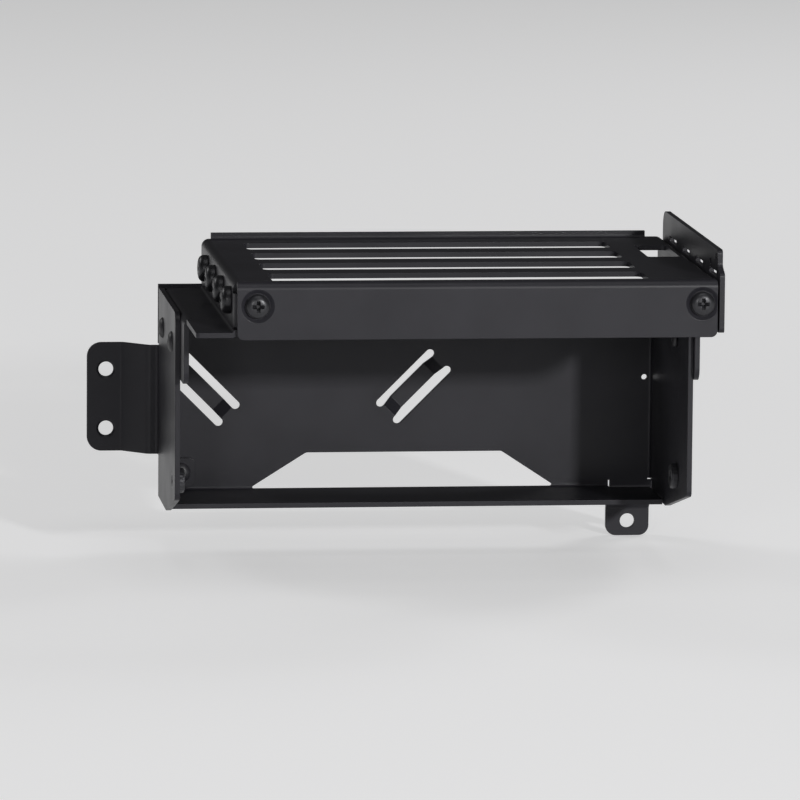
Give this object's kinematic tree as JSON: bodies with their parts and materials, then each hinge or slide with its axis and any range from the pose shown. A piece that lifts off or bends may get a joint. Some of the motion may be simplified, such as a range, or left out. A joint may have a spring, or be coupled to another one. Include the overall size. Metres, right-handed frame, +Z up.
{
  "type": "gpu support bracket",
  "caption": "Folded black steel bracket with a slotted shelf that carries the slot-bracket end of an upright graphics card, on an open base with a stepped ear and tab.",
  "frame": {"origin": "centre of the ear's two screw holes, on the ear's back face that lies on the case", "axes": "+X to the right along the shelf, +Y away from the viewer into the case wall, +Z up"},
  "size_m": [0.1415, 0.0967, 0.0807],
  "materials": {
    "coated_sheet": "fine satin black powder coat",
    "black_screw": "black zinc, slightly glossy",
    "black_nut": "black coated steel",
    "coated_rivet": "satin black coat"
  },
  "bodies": {
    "root": {"base_pan": "coated_sheet", "left_gusset": "coated_sheet", "card_shelf": "coated_sheet", "end_plate": "coated_sheet", "front_bar": "coated_sheet", "bar_screw_left": "black_screw", "bar_screw_right": "black_screw", "card_screw_1": "black_screw", "card_screw_2": "black_screw", "card_screw_3": "black_screw", "card_screw_4": "black_screw", "side_nut_left": "black_nut", "side_nut_right": "black_nut", "base_rivet_low": "coated_rivet", "base_rivet_high": "coated_rivet", "shelf_rivet_left_back": "coated_rivet", "shelf_rivet_left_front": "coated_rivet", "shelf_rivet_right_back": "coated_rivet", "shelf_rivet_right_front": "coated_rivet", "end_rivet_back": "coated_rivet", "end_rivet_front": "coated_rivet"}
  },
  "joints": []
}
